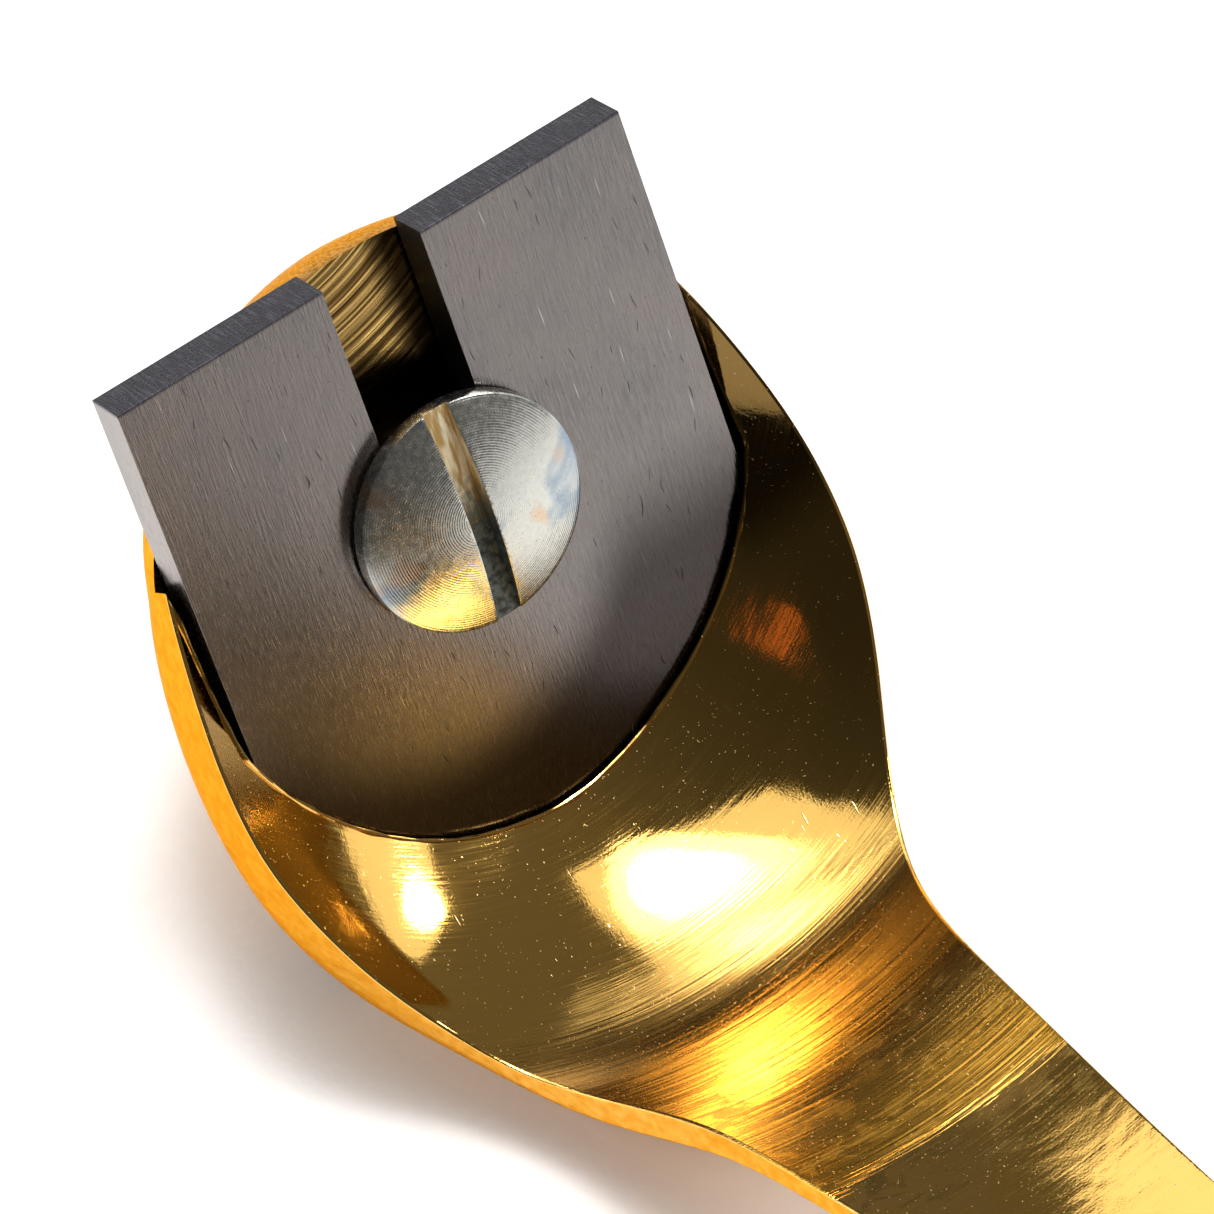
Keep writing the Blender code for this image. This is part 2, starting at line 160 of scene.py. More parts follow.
# shallow dents inside the casting: x, y, depth, reach along x, reach along y
DENTS = (
    (1.5, -14.0, 0.70, 5.5, 9.0),
    (-1.0, 18.0, 0.35, 5.0, 7.0),
)
DENT_FADE = 4.0                 # how fast they start below the rim

# bead along the mouth of the pocket
LIP_R = 0.15
LIP_UNEVEN = 0.09
LIP_WAVE = 1.6
LIP_SPACING = 0.25
LIP_SMOOTHING = 3
LIP_SIDES = 10
LIP_LEAST = 6.0                 # shortest stretch that gets one
LIP_TAPER = (0.15, 0.12)        # radius of its ends, and how fast it grows per point

POLISHED = 0                    # material slots of the casting
SATIN = 1
MACHINED = 2
SLOT_WALL = 1                   # of the plate and of the screw
SLOT_ARC_STEPS = 33

ROUND_FINE = 128
ROUND_SMALL = 48

# tool marks
POLISH_CENTRE = -26.0           # x of the point that the bowl's polishing marks circle
POLISH_RADIUS = 38.0
BRUSHED = (12.0, 31.5)          # x where the brushed part of the neck starts and ends
FLY_CUTTER_RADIUS = 14.0
FLY_CUTTER_SIDE = -6.0
TURNING_PITCH = 0.16            # of the screw head

# painted shade on the plate towards its nose: a rounded dark area round its undarkened middle
SHADE_BEFORE_NOSE = 1.0           # how far before the centre of the nose it starts
SHADE_ASIDE = 4.0
SHADE_EDGE = (10.5, 15.5)         # distance from the undarkened middle, where it starts and is full
SHADE_RUN = 9.0

# camera in the bed frame: place, turn in degrees and focal length
CAMERA_AT = (-231.84, -155.44, 389.55)
CAMERA_TURN = (-22.684, -31.959, 70.121)
LENS = 243.55
LIGHT_AIM = Vector((-0.075, 0.0, 0.015))
LIGHT_FAR = 2.0                 # metres from the bowl to the lights
SENSOR_WIDTH = 36.0
CLIP = (0.02, 20.0)
FLOOR_HALF = 5.0                # metres
ROOM_SPAN = (-1.0, 0.9)         # y of the direction, from the dim side to the lit side
ROOM_STRENGTH = (0.02, 0.13)
ROOM_COLOUR = (1.0, 0.97, 0.93, 1.0)
WHITE = (1.0, 1.0, 1.0)


# ---------------------------------------------------------------- frames

def bed_in_tool():
    """Matrix from the bed frame to the tool frame."""
    down = Vector((math.cos(BED_ANGLE), 0.0, -math.sin(BED_ANGLE)))
    across = Vector((0.0, 1.0, 0.0))
    turn = Matrix((down, across, down.cross(across))).transposed().to_4x4()
    return Matrix.Translation(BED_TOP * MM) @ turn


def bed_in_world():
    """Matrix from the bed frame to the world, from the axes of the two joints."""
    joints = {joint["name"]: joint for joint in frame["joints"]}
    slide = joints["plate_slide"]
    down = Vector(slide["axis"]).normalized()
    out = Vector(joints["clamp_screw_turn"]["axis"]).normalized()
    origin = Vector(slide["pos_m"]) - out * (0.5 * PLATE_THICK * MM)
    turn = Matrix((down, out.cross(down), out)).transposed().to_4x4()
    return Matrix.Translation(origin) @ turn


BED = bed_in_world()
TOOL = BED @ bed_in_tool().inverted()
HANDLE = TOOL @ Matrix.Translation((0.0, 0.0, AXIS_Z * MM)) @ Matrix.Rotation(math.pi / 2, 4, "Y")
SCREW = BED @ Matrix.Translation((SCREW_AT * MM, 0.0, 0.0))
PIN = TOOL @ Matrix.Translation((PIN_X * MM, 0.0, AXIS_Z * MM)) @ Matrix.Rotation(math.pi / 2, 4, "X")


# ---------------------------------------------------------------- mesh helpers

def new_object(name, points, faces, place, looks=(), smooth=35.0):
    """Mesh object from points in millimetres in the frame that place gives."""
    mesh = bpy.data.meshes.new(name)
    bm = bmesh.new()
    verts = [bm.verts.new(place @ (Vector(point) * MM)) for point in points]
    for face in faces:
        bm.faces.new([verts[index] for index in face])
    bmesh.ops.recalc_face_normals(bm, faces=bm.faces)
    bm.to_mesh(mesh)
    bm.free()
    thing = bpy.data.objects.new(name, mesh)
    bpy.context.scene.collection.objects.link(thing)
    for look in looks:
        mesh.materials.append(look)
    shade(mesh, smooth)
    return thing


def shade(mesh, degrees):
    """Smooth shading, with edges sharper than this angle kept crisp."""
    mesh.shade_smooth()
    mesh.set_sharp_from_angle(angle=math.radians(degrees))


def softened(profile, radius, steps=4):
    """The profile with each inner corner replaced by a short curve."""
    made = [profile[0]]
    for before, corner, after in zip(profile, profile[1:], profile[2:]):
        before, corner, after = Vector(before), Vector(corner), Vector(after)
        back, ahead = before - corner, after - corner
        reach = min(radius, 0.45 * back.length, 0.45 * ahead.length)
        start = corner + back.normalized() * reach
        end = corner + ahead.normalized() * reach
        for step in range(steps + 1):
            t = step / steps
            made.append(tuple(start * (1 - t) ** 2 + corner * (2 * t * (1 - t)) + end * t ** 2))
    made.append(profile[-1])
    return made


def turned(name, profile, place, looks=(), count=ROUND_FINE, hollow=False, smooth=35.0):
    """Solid of revolution about z from (radius, height) pairs; hollow closes the profile on itself."""
    points = []
    rings = []
    for radius, height in profile:
        if radius == 0.0:
            rings.append([len(points)] * count)
            points.append((0.0, 0.0, height))
            continue
        rings.append(list(range(len(points), len(points) + count)))
        for step in range(count):
            angle = 2.0 * math.pi * step / count
            points.append((radius * math.cos(angle), radius * math.sin(angle), height))
    pairs = list(zip(rings, rings[1:]))
    if hollow:
        pairs.append((rings[-1], rings[0]))
    faces = []
    for low, high in pairs:
        for step in range(count):
            after = (step + 1) % count
            corners = (low[step], low[after], high[after], high[step])
            faces.append(tuple(dict.fromkeys(corners)))
    return new_object(name, points, faces, place, looks, smooth)


def block(name, low, high, place, looks=()):
    """Box between two corners."""
    corners = [(x, y, z) for x in (low[0], high[0]) for y in (low[1], high[1]) for z in (low[2], high[2])]
    faces = ((0, 1, 3, 2), (4, 6, 7, 5), (0, 4, 5, 1), (2, 3, 7, 6), (0, 2, 6, 4), (1, 5, 7, 3))
    return new_object(name, corners, faces, place, looks)


def cut(thing, other, operation="DIFFERENCE"):
    """Exact Boolean with a piece that is removed afterwards."""
    step = thing.modifiers.new(other.name, "BOOLEAN")
    step.operation = operation
    step.object = other
    step.solver = "EXACT"
    bake_modifiers(thing)
    bpy.data.objects.remove(other, do_unlink=True)


def bake_modifiers(thing):
    bpy.context.view_layer.update()
    graph = bpy.context.evaluated_depsgraph_get()
    mesh = bpy.data.meshes.new_from_object(thing.evaluated_get(graph))
    thing.modifiers.clear()
    thing.data = mesh


def round_edges(thing, width, degrees=30.0, segments=2):
    """Small real radius on every edge sharper than this angle."""
    bevel = thing.modifiers.new("edge_radius", "BEVEL")
    bevel.width = width * MM
    bevel.segments = segments
    bevel.limit_method = "ANGLE"
    bevel.angle_limit = math.radians(degrees)
    bake_modifiers(thing)
    shade(thing.data, 50.0)
    flatter = thing.modifiers.new("flat_faces", "WEIGHTED_NORMAL")
    flatter.keep_sharp = True
    bake_modifiers(thing)


# ---------------------------------------------------------------- casting

def smooth_stations():
    """Sections between the stations on a Catmull-Rom curve, then faired along the tool."""
    rows = np.array(STATIONS)
    mirrored = rows[1].copy()
    mirrored[Station._fields.index("half_width")] *= -1.0
    ahead = 2.0 * rows[-1] - rows[-2]
    rows = np.vstack([mirrored, rows, ahead])
    fine = []
    for index in range(len(STATIONS) - 1):
        before, start, end, after = rows[index:index + 4]
        for step in range(STEPS_PER_STATION):
            t = step / STEPS_PER_STATION
            fine.append(0.5 * (
                2.0 * start
                + (end - before) * t
                + (2.0 * before - 5.0 * start + 4.0 * end - after) * t * t
                + (3.0 * start - before - 3.0 * end + after) * t ** 3
            ))
    fine.append(rows[-2])
    return [Station(*row) for row in faired(np.array(fine))]


def faired(rows):
    """Averages each row with its neighbours, less and less towards either end."""
    reach = STEPS_PER_STATION
    steps = np.arange(-reach, reach + 1)
    weights = np.exp(-0.5 * (steps / (FAIRING * STEPS_PER_STATION)) ** 2)
    weights /= weights.sum()
    made = rows.copy()
    for index in range(1, len(rows) - 1):
        room = min(index, len(rows) - 1 - index)
        share = min(1.0, room / (2.0 * reach))
        picked = rows[np.clip(index + steps, 0, len(rows) - 1)]
        made[index] = (1.0 - share) * rows[index] + share * (weights[:, None] * picked).sum(axis=0)
    return made


def section_frame(row):
    """Centre of the rim chord, unit vector towards the keel and distance to it."""
    centre = Vector((row.rim_x, 0.0, row.rim_z))
    reach = Vector((row.keel_x, 0.0, row.keel_z)) - centre
    return centre, reach.normalized(), reach.length


def dents_at(along, across):
    """Depth that hand finishing has added to the inner surface here."""
    total = 0.0
    for x, y, depth, reach_x, reach_y in DENTS:
        total += depth * math.exp(-((along - x) / reach_x) ** 2 - ((across - y) / reach_y) ** 2)
    return total


def hollow_depth(row, share, limit):
    """Depth of the inner surface at a share of its half-width, never below the bed plane."""
    edge = 1.0 - abs(share) ** row.hollow_power
    dents = dents_at(row.rim_x, row.half_width * share) * min(1.0, DENT_FADE * edge)
    depth = row.hollow_depth * edge + dents
    return max(0.0, min(depth, limit))


def depth_to_bed(centre, down):
    """Distance from the rim chord to the plane that the pocket is cut through."""
    out = Vector((math.sin(BED_ANGLE), 0.0, math.cos(BED_ANGLE)))
    slope = -down.dot(out)
    height = (centre - BED_TOP).dot(out) - 0.5 * PLATE_THICK
    return height / slope if slope > LEAST_SLOPE else math.inf


def shell_section(row):
    """One closed section of the casting as (across, drop) pairs: outside, then inside."""
    centre, down, depth = section_frame(row)
    half, wall = row.half_width, max(row.side_wall, LEAST_WALL * depth)
    outside = []
    for step in range(SECTION_STEPS + 1):
        angle = math.pi * step / SECTION_STEPS
        side = abs(math.cos(angle)) ** (2.0 / row.sole_power)
        drop = abs(math.sin(angle)) ** (2.0 / row.sole_power)
        outside.append((math.copysign(half * side, math.cos(angle)), wall + (depth - wall) * drop))
    inside = []
    width = half * (1.0 - RIM_LAND / (half + RIM_LAND))
    limit = depth_to_bed(centre, down)
    for step in range(HOLLOW_STEPS + 1):
        share = -math.cos(math.pi * step / HOLLOW_STEPS)
        inside.append((width * share, hollow_depth(row, share, limit)))
    radius = min(RIM_ROUND, 0.4 * RIM_LAND, 0.2 * half)
    outline = rim_edge(outside[0], (half, 0.0), inside[-1], radius)
    outline += [(half, wall * share) for share in np.linspace(*WALL_SHARES, WALL_STEPS)]
    outline += outside
    outline += [(-half, wall * share) for share in np.linspace(*WALL_SHARES[::-1], WALL_STEPS)]
    outline += rim_edge(outside[-1], (-half, 0.0), inside[0], radius)[::-1]
    outline += inside
    across = Vector((0.0, 1.0, 0.0))
    return [centre + across * side + down * drop for side, drop in outline]


def outside_steps(count):
    """First and last step of a section that face outwards, below the rim."""
    corner = RIM_STEPS + 1
    return corner, count - (HOLLOW_STEPS + 1) - corner


def rim_edge(wall_foot, corner, land_end, radius):
    """Rounded corner of the rim, from the land down to the outer wall."""
    curve = softened((land_end, corner, wall_foot), radius, RIM_STEPS)
    return curve[1:-1]


def casting_shell(looks):
    """Lofted casting, closed by the heel's nose and a flat neck end."""
    rows = smooth_stations()
    nose = Vector((rows[0].rim_x, 0.0, rows[0].rim_z))
    sections = [shell_section(row) for row in rows[1:]]
    count = len(sections[0])
    points = [point for section in sections for point in section] + [nose]
    faces = []
    for ring in range(len(sections) - 1):
        low, high = ring * count, (ring + 1) * count
        for step in range(count):
            after = (step + 1) % count
            faces.append((low + step, low + after, high + after, high + step))
    faces.append(tuple(range(len(points) - 1 - count, len(points) - 1)))
    for step in range(count):
        faces.append((step, (step + 1) % count, len(points) - 1))
    casting = new_object("polished_casting", points, faces, TOOL, looks)
    first, last = outside_steps(count)
    for index, polygon in enumerate(casting.data.polygons):
        ring, step = divmod(index, count)
        if index >= (len(sections) - 1) * count:
            polygon.material_index = SATIN
        elif first <= step < last:
            polygon.material_index = SATIN
    return casting


def assigned(cutter, slot):
    """The same cutter, leaving faces with this material slot."""
    for polygon in cutter.data.polygons:
        polygon.material_index = slot
    return cutter


def mouth_paths(work):
    """Edges where the pocket breaks through the polished inside, as chains of points."""
    links = {}
    for edge in work.edges:
        kinds = {face.material_index for face in edge.link_faces}
        if kinds == {POLISHED, MACHINED}:
            first, second = edge.verts
            links.setdefault(first, []).append(second)
            links.setdefault(second, []).append(first)
    ends = [vert for vert, near in links.items() if len(near) != 2]
    seen = set()
    paths = []
    for start in ends + list(links):
        if start in seen:
            continue
        path = [start]
        seen.add(start)
        while True:
            ahead = [vert for vert in links[path[-1]] if vert not in seen]
            if not ahead:
                break
            path.append(ahead[0])
            seen.add(ahead[0])
        paths.append([vert.co.copy() for vert in path])
    return paths


def evenly(path, spacing):
    """Points this far apart along a path, lightly smoothed."""
    points = np.array(path)
    steps = np.linalg.norm(np.diff(points, axis=0), axis=1)
    run = np.concatenate([[0.0], np.cumsum(steps)])
    places = np.linspace(0.0, run[-1], max(3, int(run[-1] / spacing)))
    even = np.stack([np.interp(places, run, points[:, axis]) for axis in range(3)], axis=1)
    for _ in range(LIP_SMOOTHING):
        even[1:-1] = 0.25 * even[:-2] + 0.5 * even[1:-1] + 0.25 * even[2:]
    return [Vector(point) for point in even]


def raise_lip(casting):
    """Uneven rounded bead of worked metal along the mouth of the pocket."""
    work = bmesh.new()
    work.from_mesh(casting.data)
    for path in mouth_paths(work):
        length = sum((after - before).length for before, after in zip(path, path[1:]))
        if length < LIP_LEAST * MM:
            continue
        points = evenly(path, LIP_SPACING * MM)
        rings = []
        side = Vector((0.0, 0.0, 1.0))
        for index, point in enumerate(points):
            ahead = points[min(index + 1, len(points) - 1)] - points[max(index - 1, 0)]
            ahead.normalize()
            side = (side - ahead * side.dot(ahead)).normalized()
            other = ahead.cross(side)
            wave = noise.noise(point / (LIP_WAVE * MM))
            taper = min(1.0, LIP_TAPER[0] + LIP_TAPER[1] * min(index, len(points) - 1 - index))
            radius = (LIP_R + LIP_UNEVEN * wave) * taper * MM
            middle = point + side * (noise.noise(point / (2.0 * LIP_WAVE * MM)) * LIP_UNEVEN * MM)
            ring = []
            for angle in np.linspace(0.0, 2.0 * math.pi, LIP_SIDES, endpoint=False):
                out = side * math.cos(angle) + other * math.sin(angle)
                ring.append(work.verts.new(middle + out * radius))
            rings.append(ring)
        for low, high in zip(rings, rings[1:]):
            for step in range(LIP_SIDES):
                after = (step + 1) % LIP_SIDES
                work.faces.new((low[step], low[after], high[after], high[step]))
        work.faces.new(rings[0][::-1])
        work.faces.new(rings[-1])
    work.to_mesh(casting.data)
    work.free()


def body_casting(looks):
    casting = casting_shell(looks)
    low = (POCKET_L[0], -POCKET_HALF, -GAP)
    high = (POCKET_L[1], POCKET_HALF, POCKET_ROOF)
    cut(casting, assigned(block("pocket", low, high, BED, looks), MACHINED))
    low = (RELIEF[0], -RELIEF_HALF, -GAP - RELIEF_DEPTH)
    cut(casting, assigned(block("relief", low, (RELIEF[1], RELIEF_HALF, 1.0), BED, looks), MACHINED))
    hole_r = SCREW_R + GAP
    hole = ((0.0, -SCREW_DEPTH - 2.0), (hole_r, -SCREW_DEPTH - GAP), (hole_r, 2.0), (0.0, 2.0))
    cut(casting, turned("screw_hole", hole, SCREW, count=ROUND_SMALL))
    bore_r, bore_end = TANG_R + GAP, TANG_X[0] - GAP
    outer = softened(BOSS + ((bore_r, BOSS[-1][1]),), BOSS_ROUND)
    boss = outer + [(bore_r, bore_end), (0.0, bore_end)]
    cut(casting, turned("boss", boss, HANDLE), "UNION")
    half = FLAT_CUTTER
    low = (-5.0 * half, -half, -half)
    cut(casting, block("sole_flat", low, (half, half, 0.0), Matrix.Identity(4)))
    reach = 2.0 * PIN_HALF
    hole_r = PIN_R + GAP
    hole = ((0.0, -reach), (hole_r, -reach), (hole_r, reach), (0.0, reach))
    cut(casting, turned("pin_hole", hole, PIN, count=ROUND_SMALL))
    raise_lip(casting)
    shade(casting.data, 35.0)
    return casting


# ---------------------------------------------------------------- cutter and screw

def cutter_plate(looks):
    """Plate in the bed frame: square top, open slot, arched and bevelled cutting edge."""
    outline = [(0.0, -PLATE_HALF, False), (0.0, -SLOT_HALF, False)]
    for angle in np.linspace(0.0, math.pi, SLOT_ARC_STEPS):
        down = SLOT_END - SLOT_HALF + SLOT_HALF * math.sin(angle)
        outline.append((down, -SLOT_HALF * math.cos(angle), False))
    outline += [(0.0, SLOT_HALF, False), (0.0, PLATE_HALF, False)]
    outline += [(0.0, PLATE_HALF * math.cos(angle), True) for angle in np.linspace(0.0, math.pi, 65)]
    nose_centre = PLATE_LENGTH - PLATE_NOSE_R
    count = len(outline)
    points = []
    for height, radius in ((0.0, PLATE_NOSE_R - PLATE_BEVEL), (PLATE_THICK, PLATE_NOSE_R)):
        for down, across, on_nose in outline:
            if on_nose:
                down = nose_centre + math.sqrt(radius ** 2 - across ** 2)
            points.append((down, across, height))
    faces = [tuple(range(count)), tuple(range(count, 2 * count))]
    for step in range(count):
        after = (step + 1) % count
        faces.append((step, after, count + after, count + step))
    plate = new_object("ground_cutter", points, faces, BED, looks)
    for polygon in plate.data.polygons[3:SLOT_ARC_STEPS + 4]:
        polygon.material_index = SLOT_WALL
    round_edges(plate, 0.09)
    return plate


def clamp_screw(looks):
    """Slotted screw about z, with z = 0 on the cutter's underside."""
    seat_z = PLATE_THICK + GAP
    crown = seat_z + HEAD_SIDE + HEAD_DOME
    dome_r = (HEAD_R ** 2 + HEAD_DOME ** 2) / (2.0 * HEAD_DOME)
    dome = []
    for radius in np.linspace(HEAD_R, 0.0, 25)[:-1]:
        dome.append((radius, crown - dome_r + math.sqrt(dome_r ** 2 - radius ** 2)))
    profile = [(0.0, -SCREW_DEPTH), (SCREW_R - 0.8, -SCREW_DEPTH), (SCREW_R, -SCREW_DEPTH + 0.8)]
    profile += [(SCREW_R, seat_z), (HEAD_R, seat_z)] + dome + [(0.0, crown)]
    screw = turned("slotted_clamp_screw", profile, SCREW, looks)
    low = (-2.0 * HEAD_R, -DRIVER_HALF, crown - DRIVER_DEPTH)
    high = (2.0 * HEAD_R, DRIVER_HALF, crown + 2.0)
    cut(screw, assigned(block("driver_slot", low, high, SCREW, looks), SLOT_WALL))
    round_edges(screw, 0.07, 25.0)
    return screw


# ---------------------------------------------------------------- handle

def smooth_profile(points, steps=6):
    """Catmull-Rom curve through (radius, height) pairs."""
    rows = np.array(points)
    rows = np.vstack([2.0 * rows[0] - rows[1], rows, 2.0 * rows[-1] - rows[-2]])
    made = []
    for before, start, end, after in zip(rows, rows[1:], rows[2:], rows[3:]):
        for step in range(steps):
            t = step / steps
            made.append(0.5 * (
                2.0 * start
                + (end - before) * t
                + (2.0 * before - 5.0 * start + 4.0 * end - after) * t * t
                + (3.0 * start - before - 3.0 * end + after) * t ** 3
            ))
    made.append(rows[-2])
    return [(float(radius), float(height)) for radius, height in made]


def handle_grip(looks):
    outer = []
    for radius, height in smooth_profile(GRIP_CURVE, 14):
        near = min(abs(height - ring) for ring in GRIP_RINGS)
        outer.append((radius - GRIP_EASE - 0.3 * math.exp(-(near / 0.35) ** 2), height))
    ends = [(GRIP_BORE, GRIP_CURVE[-1][1]), (GRIP_BORE, GRIP_SPIGOT[0][1])]
    profile = list(GRIP_SPIGOT) + outer + ends
    return turned("turned_grip", profile, HANDLE, looks, hollow=True)


def ferrule(looks):
    inner, outer = FERRULE_R
    low, high = FERRULE_X
    step = 0.25
    profile = [(inner, low), (outer - 0.2, low), (outer - 0.2, low + 0.3), (outer, low + 0.6)]
    profile += [(outer, low + 1.6), (outer - step, low + 1.9), (outer - step, high - 1.9)]
    profile += [(outer, high - 1.6), (outer, high - 0.4), (outer - 0.3, high), (inner, high)]
    return turned("beaded_ferrule", softened(profile, 0.3), HANDLE, looks, hollow=True)


def end_washer(looks):
    inner, outer = WASHER_R
    low, high = WASHER_X
    profile = ((inner, low), (outer, low), (outer, high), (inner, high))
    return turned("end_washer_rounded", softened(profile, 0.35), HANDLE, looks, hollow=True)


def end_nut(looks):
    """Blind hexagon nut: a turned, chamfered blank with six flats and a blind bore."""
    low, high = NUT_X
    corner = NUT_ACROSS_FLATS / math.sqrt(3.0)
    profile = ((0.0, low), (corner - 0.5, low), (corner + 0.1, low + 0.6), (corner + 0.1, high - 1.0),
               (corner - 1.2, high), (0.0, high))
    nut = turned("hexagon_end_nut", profile, HANDLE, looks)
    flats = ((0.0, low - 3.0), (corner, low - 3.0), (corner, high + 3.0), (0.0, high + 3.0))
    cut(nut, turned("nut_flats", flats, HANDLE, count=6), "INTERSECT")
    bore_r, bore_end = TANG_R + GAP, low + NUT_BORE_DEPTH
    bore = ((0.0, low - 3.0), (bore_r, low - 3.0), (bore_r, bore_end), (0.0, bore_end))
    cut(nut, turned("nut_bore", bore, HANDLE, count=ROUND_SMALL))
    round_edges(nut, 0.12, 20.0)
    return nut


# ---------------------------------------------------------------- material helpers

def new_look(name, **sockets):
    """Metal or wood with these Principled settings; returns the material, its tree and shader."""
    made = bpy.data.materials.new(name)
    made.use_nodes = True
    shader = made.node_tree.nodes["Principled BSDF"]
    for key, value in sockets.items():
        shader.inputs[key.replace("_", " ")].default_value = value
    return made, made.node_tree, shader


def node(tree, kind, inputs=None, **settings):
    """Adds a shader node; an input is a plain value or another node's output."""
    made = tree.nodes.new("ShaderNode" + kind)
    for key, value in settings.items():
        setattr(made, key, value)
    for key, value in (inputs or {}).items():
        if isinstance(value, bpy.types.NodeSocket):
            tree.links.new(value, made.inputs[key])
        else:
            made.inputs[key].default_value = value
    return made


def local(tree, place):
    """Position in millimetres in the frame that place gives."""
    where = node(tree, "TexCoord").outputs["Object"]
    location, turn, _ = place.decompose()
    return node(tree, "Mapping", {
        "Vector": where,
        "Location": location,
        "Rotation": turn.to_euler(),
        "Scale": (MM, MM, MM),
    }, vector_type="TEXTURE").outputs["Vector"]


def stretched(tree, where, factors, turn=0.0):
    return node(tree, "Mapping", {
        "Vector": where,
        "Rotation": (0.0, 0.0, turn),
        "Scale": factors,
    }).outputs["Vector"]


def noise_at(tree, where, factors, detail=2.0, turn=0.0, distortion=0.0):
    """Noise between 0 and 1, with this many features per millimetre along each axis."""
    return node(tree, "TexNoise", {
        "Vector": stretched(tree, where, factors, turn),
        "Scale": 1.0,
        "Detail": detail,
        "Distortion": distortion,
    }).outputs["Fac"]


def between(tree, value, low, high, start=0.0, end=1.0):
    """Smooth step of a value from low to high."""
    return node(tree, "MapRange", {
        "Value": value,
        "From Min": low,
        "From Max": high,
        "To Min": start,
        "To Max": end,
    }, interpolation_type="SMOOTHSTEP").outputs["Result"]


def calc(tree, operation, first, second=0.0):
    made = node(tree, "Math", operation=operation)
    for index, value in enumerate((first, second)):
        if isinstance(value, bpy.types.NodeSocket):
            tree.links.new(value, made.inputs[index])
        else:
            made.inputs[index].default_value = value
    return made.outputs[0]


def times(tree, first, second):
    return calc(tree, "MULTIPLY", first, second)


def plus(tree, first, second):
    return calc(tree, "ADD", first, second)


def minus(tree, first, second):
    return calc(tree, "SUBTRACT", first, second)


def distance(tree, x, y):
    """Distance from the origin of the plane."""
    return calc(tree, "SQRT", plus(tree, times(tree, x, x), times(tree, y, y)))


def axes(tree, where):
    """The three coordinates of a position."""
    return node(tree, "SeparateXYZ", {"Vector": where}).outputs


def mix(tree, factor, first, second):
    """Blend of two colours."""
    made = node(tree, "Mix", data_type="RGBA")
    for index, value in ((0, factor), (6, first), (7, second)):
        if isinstance(value, bpy.types.NodeSocket):
            tree.links.new(value, made.inputs[index])
        elif index == 0:
            made.inputs[index].default_value = value
        else:
            made.inputs[index].default_value = (*value, 1.0)
    return made.outputs[2]


def bump(tree, height, depth, normal=None):
    """Surface relief; depth is in millimetres."""
    made = node(tree, "Bump", {"Height": height, "Strength": 1.0, "Distance": depth * MM})
    if normal is not None:
        tree.links.new(normal, made.inputs["Normal"])
    return made.outputs["Normal"]


def marks(tree, where, length, width, share, turn, wander=0.0, flat=False):
    """Mask of scattered short scratches: one thin cell of a stretched Voronoi pattern each."""
    if wander:
        bent = node(tree, "TexNoise", {"Vector": where, "Scale": 0.7 / length, "Detail": 1.0})
        offset = node(tree, "VectorMath", operation="SCALE")
        tree.links.new(bent.outputs["Color"], offset.inputs[0])
        offset.inputs["Scale"].default_value = wander
        moved = node(tree, "VectorMath", operation="ADD")
        tree.links.new(where, moved.inputs[0])
        tree.links.new(offset.outputs[0], moved.inputs[1])
        where = moved.outputs[0]
    across = 0.22 / width
    cells = node(tree, "TexVoronoi", {
        "Vector": stretched(tree, where, (0.4 / length, across, across), turn),
        "Scale": 1.0,
    }, voronoi_dimensions="2D" if flat else "3D")
    thin = between(tree, cells.outputs["Distance"], 0.13, 0.07)
    pick = node(tree, "SeparateColor", {"Color": cells.outputs["Color"]}).outputs["Red"]
    return times(tree, thin, calc(tree, "LESS_THAN", pick, share))


def finish(tree, shader, colour, roughness, normal):
    tree.links.new(colour, shader.inputs["Base Color"])
    tree.links.new(roughness, shader.inputs["Roughness"])
    tree.links.new(normal, shader.inputs["Normal"])


# ---------------------------------------------------------------- materials

def polishing_arcs(tree, where):
    """Coordinates along and across the polishing marks, which circle the middle of the bowl."""
    parts = axes(tree, where)
    along = minus(tree, parts["X"], POLISH_CENTRE)
    across = parts["Y"]
    arc = times(tree, calc(tree, "ARCTAN2", across, along), POLISH_RADIUS)
    return node(tree, "CombineXYZ", {"X": distance(tree, along, across), "Y": arc}).outputs["Vector"]


